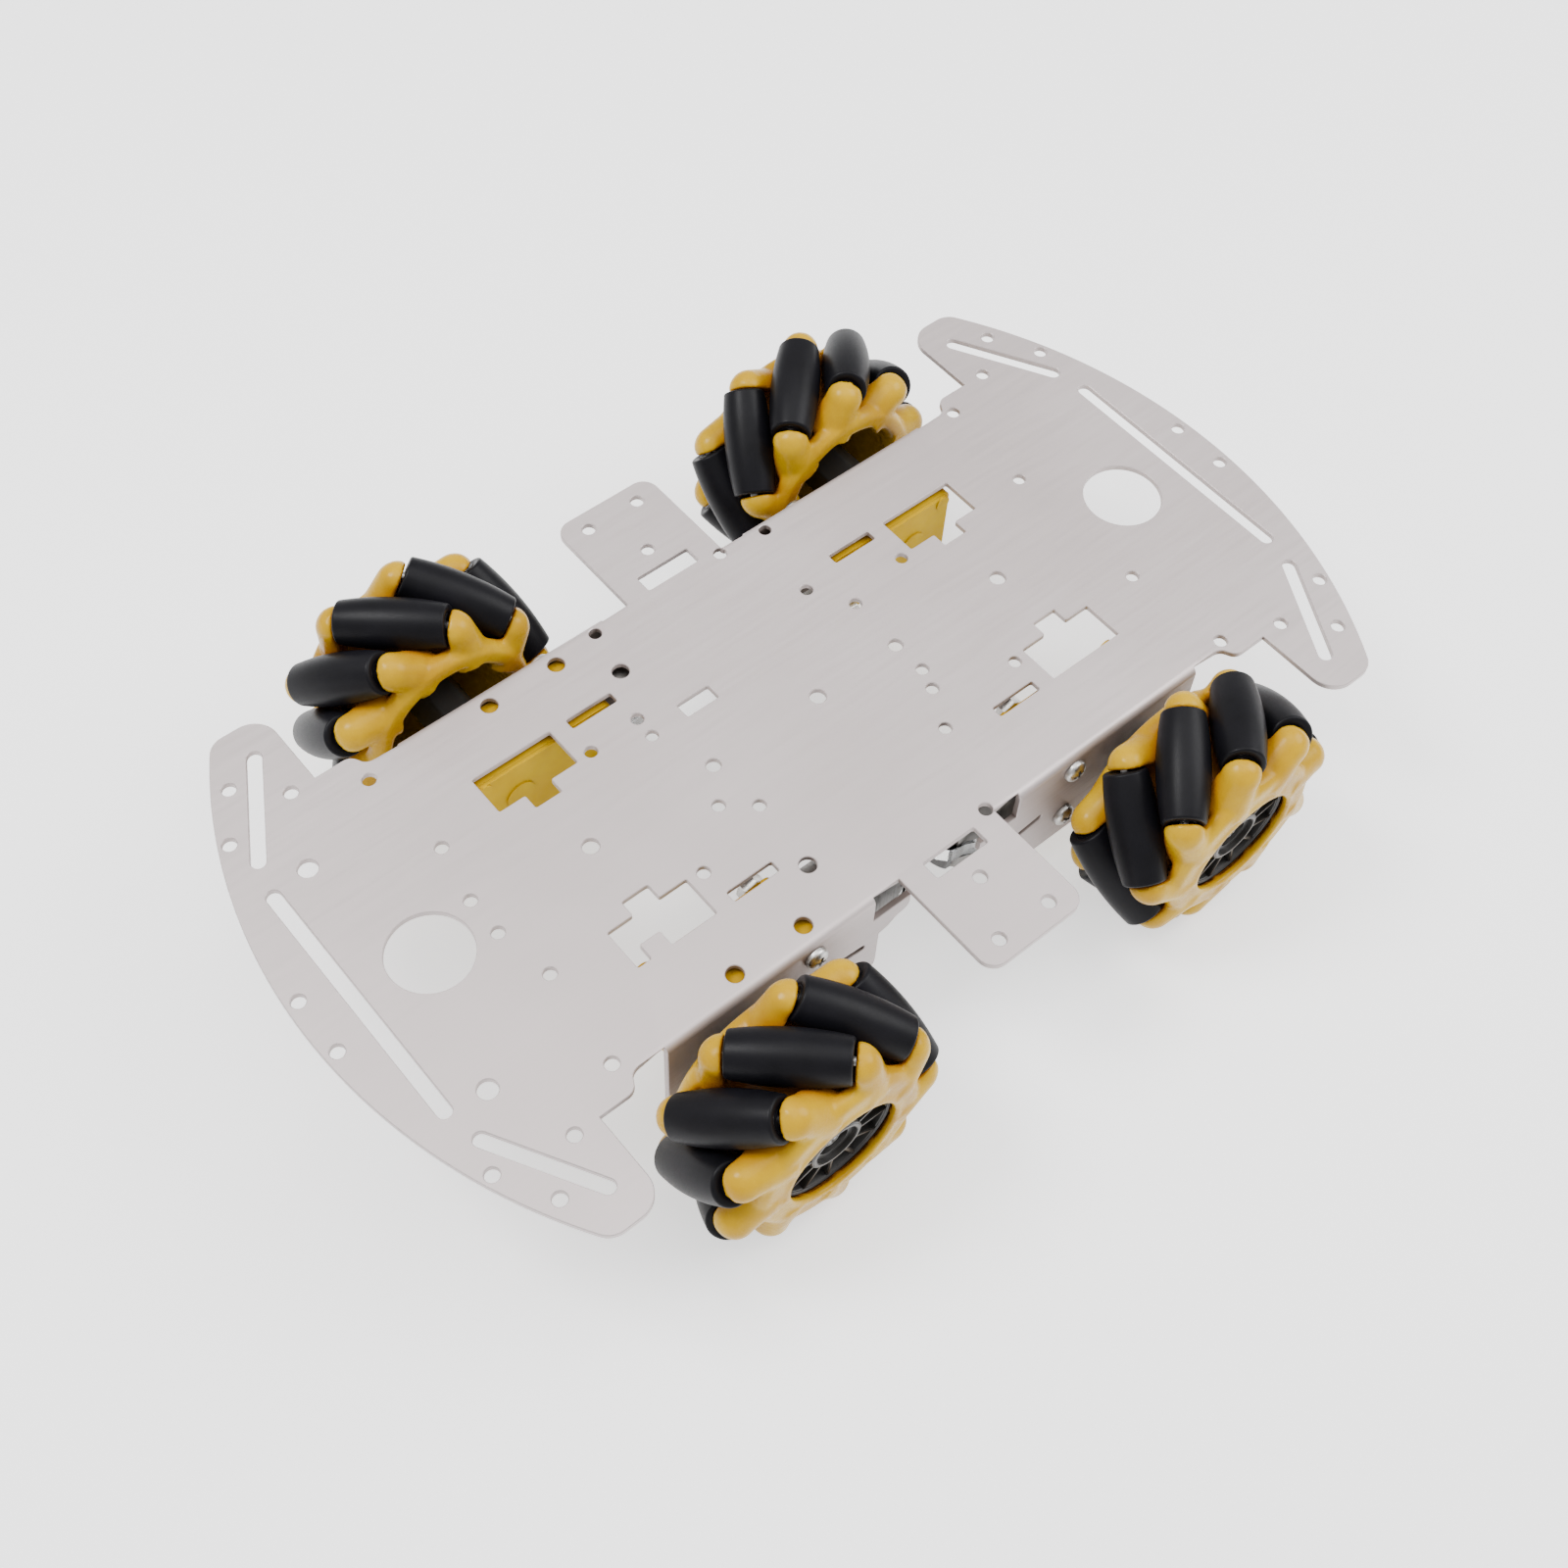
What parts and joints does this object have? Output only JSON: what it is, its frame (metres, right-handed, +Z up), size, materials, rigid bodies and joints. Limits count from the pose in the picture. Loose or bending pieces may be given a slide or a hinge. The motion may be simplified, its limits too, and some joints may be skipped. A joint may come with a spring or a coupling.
{
  "type": "mecanum wheel robot base",
  "caption": "Four-wheel robot base: a slotted, folded aluminium plate on geared motors, with mecanum wheels whose angled barrel rollers turn freely.",
  "frame": {"origin": "on the ground, under the centre of the plate", "axes": "+X to the front along the longer side, +Y to the left side, +Z up"},
  "size_m": [0.255, 0.1622, 0.0596],
  "materials": {
    "plate": "fine satin anodised sheet",
    "yellow_plastic": "moulded, semi-gloss",
    "hub_yellow": "moulded, glossy",
    "roller_rubber": "smooth satin",
    "motor_steel": "plated, satin",
    "white_plastic": "moulded, satin",
    "black_plastic": "moulded, satin",
    "fastener_steel": "zinc-plated",
    "clear_plastic": "clear moulded strap"
  },
  "bodies": {
    "chassis": {"chassis_plate": "plate", "gearbox_fl": "yellow_plastic", "motor_can_fl": "motor_steel", "gearbox_fr": "yellow_plastic", "motor_can_fr": "motor_steel", "gearbox_rl": "yellow_plastic", "motor_can_rl": "motor_steel", "gearbox_rr": "yellow_plastic", "motor_can_rr": "motor_steel"},
    "wheel_fl": {"wheel_hub_fl": "hub_yellow", "wheel_coupling_fl": "black_plastic", "output_shaft_fl": "white_plastic"},
    "roller_fl_1": {"roller_fl_1": "roller_rubber"},
    "roller_fl_2": {"roller_fl_2": "roller_rubber"},
    "roller_fl_3": {"roller_fl_3": "roller_rubber"},
    "roller_fl_4": {"roller_fl_4": "roller_rubber"},
    "roller_fl_5": {"roller_fl_5": "roller_rubber"},
    "roller_fl_6": {"roller_fl_6": "roller_rubber"},
    "roller_fl_7": {"roller_fl_7": "roller_rubber"},
    "roller_fl_8": {"roller_fl_8": "roller_rubber"},
    "roller_fl_9": {"roller_fl_9": "roller_rubber"},
    "wheel_fr": {"wheel_hub_fr": "hub_yellow", "wheel_coupling_fr": "black_plastic", "output_shaft_fr": "white_plastic"},
    "roller_fr_1": {"roller_fr_1": "roller_rubber"},
    "roller_fr_2": {"roller_fr_2": "roller_rubber"},
    "roller_fr_3": {"roller_fr_3": "roller_rubber"},
    "roller_fr_4": {"roller_fr_4": "roller_rubber"},
    "roller_fr_5": {"roller_fr_5": "roller_rubber"},
    "roller_fr_6": {"roller_fr_6": "roller_rubber"},
    "roller_fr_7": {"roller_fr_7": "roller_rubber"},
    "roller_fr_8": {"roller_fr_8": "roller_rubber"},
    "roller_fr_9": {"roller_fr_9": "roller_rubber"},
    "wheel_rl": {"wheel_hub_rl": "hub_yellow", "wheel_coupling_rl": "black_plastic", "output_shaft_rl": "white_plastic"},
    "roller_rl_1": {"roller_rl_1": "roller_rubber"},
    "roller_rl_2": {"roller_rl_2": "roller_rubber"},
    "roller_rl_3": {"roller_rl_3": "roller_rubber"},
    "roller_rl_4": {"roller_rl_4": "roller_rubber"},
    "roller_rl_5": {"roller_rl_5": "roller_rubber"},
    "roller_rl_6": {"roller_rl_6": "roller_rubber"},
    "roller_rl_7": {"roller_rl_7": "roller_rubber"},
    "roller_rl_8": {"roller_rl_8": "roller_rubber"},
    "roller_rl_9": {"roller_rl_9": "roller_rubber"},
    "wheel_rr": {"wheel_hub_rr": "hub_yellow", "wheel_coupling_rr": "black_plastic", "output_shaft_rr": "white_plastic"},
    "roller_rr_1": {"roller_rr_1": "roller_rubber"},
    "roller_rr_2": {"roller_rr_2": "roller_rubber"},
    "roller_rr_3": {"roller_rr_3": "roller_rubber"},
    "roller_rr_4": {"roller_rr_4": "roller_rubber"},
    "roller_rr_5": {"roller_rr_5": "roller_rubber"},
    "roller_rr_6": {"roller_rr_6": "roller_rubber"},
    "roller_rr_7": {"roller_rr_7": "roller_rubber"},
    "roller_rr_8": {"roller_rr_8": "roller_rubber"},
    "roller_rr_9": {"roller_rr_9": "roller_rubber"}
  },
  "joints": [
    {"name": "front_left_wheel_spin", "type": "hinge", "parent": "chassis", "child": "wheel_fl", "pos_m": [0.0575, 0.06645, 0.03], "axis": [0, 1, 0], "continuous": true},
    {"name": "front_right_wheel_spin", "type": "hinge", "parent": "chassis", "child": "wheel_fr", "pos_m": [0.0575, -0.06645, 0.03], "axis": [0, 1, 0], "continuous": true},
    {"name": "rear_left_wheel_spin", "type": "hinge", "parent": "chassis", "child": "wheel_rl", "pos_m": [-0.0575, 0.06645, 0.03], "axis": [0, 1, 0], "continuous": true},
    {"name": "rear_right_wheel_spin", "type": "hinge", "parent": "chassis", "child": "wheel_rr", "pos_m": [-0.0575, -0.06645, 0.03], "axis": [0, 1, 0], "continuous": true},
    {"name": "front_left_roller_1_spin", "type": "hinge", "parent": "wheel_fl", "child": "roller_fl_1", "pos_m": [0.03854, 0.06645, 0.04455], "axis": [0.4305, 0.7071, 0.561], "continuous": true},
    {"name": "front_left_roller_2_spin", "type": "hinge", "parent": "wheel_fl", "child": "roller_fl_2", "pos_m": [0.05233, 0.06645, 0.05333], "axis": [0.6903, 0.7071, 0.153], "continuous": true},
    {"name": "front_left_roller_3_spin", "type": "hinge", "parent": "wheel_fl", "child": "roller_fl_3", "pos_m": [0.06854, 0.06645, 0.0512], "axis": [0.6272, 0.7071, -0.3265], "continuous": true},
    {"name": "front_left_roller_4_spin", "type": "hinge", "parent": "wheel_fl", "child": "roller_fl_4", "pos_m": [0.07958, 0.06645, 0.03915], "axis": [0.2706, 0.7071, -0.6533], "continuous": true},
    {"name": "front_left_roller_5_spin", "type": "hinge", "parent": "wheel_fl", "child": "roller_fl_5", "pos_m": [0.08029, 0.06645, 0.02281], "axis": [-0.2126, 0.7071, -0.6744], "continuous": true},
    {"name": "front_left_roller_6_spin", "type": "hinge", "parent": "wheel_fl", "child": "roller_fl_6", "pos_m": [0.07034, 0.06645, 0.00984], "axis": [-0.5964, 0.7071, -0.3799], "continuous": true},
    {"name": "front_left_roller_7_spin", "type": "hinge", "parent": "wheel_fl", "child": "roller_fl_7", "pos_m": [0.05438, 0.06645, 0.0063], "axis": [-0.7011, 0.7071, 0.0923], "continuous": true},
    {"name": "front_left_roller_8_spin", "type": "hinge", "parent": "wheel_fl", "child": "roller_fl_8", "pos_m": [0.03988, 0.06645, 0.01385], "axis": [-0.4777, 0.7071, 0.5213], "continuous": true},
    {"name": "front_left_roller_9_spin", "type": "hinge", "parent": "wheel_fl", "child": "roller_fl_9", "pos_m": [0.03362, 0.06645, 0.02896], "axis": [-0.0308, 0.7071, 0.7064], "continuous": true},
    {"name": "front_right_roller_1_spin", "type": "hinge", "parent": "wheel_fr", "child": "roller_fr_1", "pos_m": [0.0772, -0.06645, 0.04354], "axis": [-0.4005, -0.7071, 0.5827], "continuous": true},
    {"name": "front_right_roller_2_spin", "type": "hinge", "parent": "wheel_fr", "child": "roller_fr_2", "pos_m": [0.06389, -0.06645, 0.05303], "axis": [-0.6814, -0.7071, 0.189], "continuous": true},
    {"name": "front_right_roller_3_spin", "type": "hinge", "parent": "wheel_fr", "child": "roller_fr_3", "pos_m": [0.04759, -0.06645, 0.05175], "axis": [-0.6434, -0.7071, -0.2932], "continuous": true},
    {"name": "front_right_roller_4_spin", "type": "hinge", "parent": "wheel_fr", "child": "roller_fr_4", "pos_m": [0.03593, -0.06645, 0.04029], "axis": [-0.3044, -0.7071, -0.6382], "continuous": true},
    {"name": "front_right_roller_5_spin", "type": "hinge", "parent": "wheel_fr", "child": "roller_fr_5", "pos_m": [0.03436, -0.06645, 0.02402], "axis": [0.177, -0.7071, -0.6846], "continuous": true},
    {"name": "front_right_roller_6_spin", "type": "hinge", "parent": "wheel_fr", "child": "roller_fr_6", "pos_m": [0.04362, -0.06645, 0.01054], "axis": [0.5757, -0.7071, -0.4106], "continuous": true},
    {"name": "front_right_roller_7_spin", "type": "hinge", "parent": "wheel_fr", "child": "roller_fr_7", "pos_m": [0.05938, -0.06645, 0.00617], "axis": [0.7049, -0.7071, 0.0555], "continuous": true},
    {"name": "front_right_roller_8_spin", "type": "hinge", "parent": "wheel_fr", "child": "roller_fr_8", "pos_m": [0.07425, -0.06645, 0.01295], "axis": [0.5043, -0.7071, 0.4956], "continuous": true},
    {"name": "front_right_roller_9_spin", "type": "hinge", "parent": "wheel_fr", "child": "roller_fr_9", "pos_m": [0.08129, -0.06645, 0.02771], "axis": [0.0678, -0.7071, 0.7039], "continuous": true},
    {"name": "rear_left_roller_1_spin", "type": "hinge", "parent": "wheel_rl", "child": "roller_rl_1", "pos_m": [-0.08139, 0.06645, 0.03063], "axis": [-0.0185, 0.7071, -0.7069], "continuous": true},
    {"name": "rear_left_roller_2_spin", "type": "hinge", "parent": "wheel_rl", "child": "roller_rl_2", "pos_m": [-0.0754, 0.06645, 0.04584], "axis": [-0.4685, 0.7071, -0.5296], "continuous": true},
    {"name": "rear_left_roller_3_spin", "type": "hinge", "parent": "wheel_rl", "child": "roller_rl_3", "pos_m": [-0.06103, 0.06645, 0.05364], "axis": [-0.6993, 0.7071, -0.1045], "continuous": true},
    {"name": "rear_left_roller_4_spin", "type": "hinge", "parent": "wheel_rl", "child": "roller_rl_4", "pos_m": [-0.04501, 0.06645, 0.05038], "axis": [-0.6029, 0.7071, 0.3695], "continuous": true},
    {"name": "rear_left_roller_5_spin", "type": "hinge", "parent": "wheel_rl", "child": "roller_rl_5", "pos_m": [-0.03484, 0.06645, 0.03758], "axis": [-0.2244, 0.7071, 0.6706], "continuous": true},
    {"name": "rear_left_roller_6_spin", "type": "hinge", "parent": "wheel_rl", "child": "roller_rl_6", "pos_m": [-0.03526, 0.06645, 0.02124], "axis": [0.2592, 0.7071, 0.6579], "continuous": true},
    {"name": "rear_left_roller_7_spin", "type": "hinge", "parent": "wheel_rl", "child": "roller_rl_7", "pos_m": [-0.0461, 0.06645, 0.009], "axis": [0.6214, 0.7071, 0.3374], "continuous": true},
    {"name": "rear_left_roller_8_spin", "type": "hinge", "parent": "wheel_rl", "child": "roller_rl_8", "pos_m": [-0.06226, 0.06645, 0.00658], "axis": [0.6929, 0.7071, -0.141], "continuous": true},
    {"name": "rear_left_roller_9_spin", "type": "hinge", "parent": "wheel_rl", "child": "roller_rl_9", "pos_m": [-0.0762, 0.06645, 0.01512], "axis": [0.4402, 0.7071, -0.5534], "continuous": true},
    {"name": "rear_right_roller_1_spin", "type": "hinge", "parent": "wheel_rr", "child": "roller_rr_1", "pos_m": [-0.03471, -0.06645, 0.03719], "axis": [0.2126, -0.7071, -0.6744], "continuous": true},
    {"name": "rear_right_roller_2_spin", "type": "hinge", "parent": "wheel_rr", "child": "roller_rr_2", "pos_m": [-0.04466, -0.06645, 0.05016], "axis": [0.5964, -0.7071, -0.3799], "continuous": true},
    {"name": "rear_right_roller_3_spin", "type": "hinge", "parent": "wheel_rr", "child": "roller_rr_3", "pos_m": [-0.06062, -0.06645, 0.0537], "axis": [0.7011, -0.7071, 0.0923], "continuous": true},
    {"name": "rear_right_roller_4_spin", "type": "hinge", "parent": "wheel_rr", "child": "roller_rr_4", "pos_m": [-0.07512, -0.06645, 0.04615], "axis": [0.4777, -0.7071, 0.5213], "continuous": true},
    {"name": "rear_right_roller_5_spin", "type": "hinge", "parent": "wheel_rr", "child": "roller_rr_5", "pos_m": [-0.08138, -0.06645, 0.03104], "axis": [0.0308, -0.7071, 0.7064], "continuous": true},
    {"name": "rear_right_roller_6_spin", "type": "hinge", "parent": "wheel_rr", "child": "roller_rr_6", "pos_m": [-0.07646, -0.06645, 0.01545], "axis": [-0.4305, -0.7071, 0.561], "continuous": true},
    {"name": "rear_right_roller_7_spin", "type": "hinge", "parent": "wheel_rr", "child": "roller_rr_7", "pos_m": [-0.06267, -0.06645, 0.00667], "axis": [-0.6903, -0.7071, 0.153], "continuous": true},
    {"name": "rear_right_roller_8_spin", "type": "hinge", "parent": "wheel_rr", "child": "roller_rr_8", "pos_m": [-0.04646, -0.06645, 0.0088], "axis": [-0.6272, -0.7071, -0.3265], "continuous": true},
    {"name": "rear_right_roller_9_spin", "type": "hinge", "parent": "wheel_rr", "child": "roller_rr_9", "pos_m": [-0.03542, -0.06645, 0.02085], "axis": [-0.2706, -0.7071, -0.6533], "continuous": true}
  ]
}
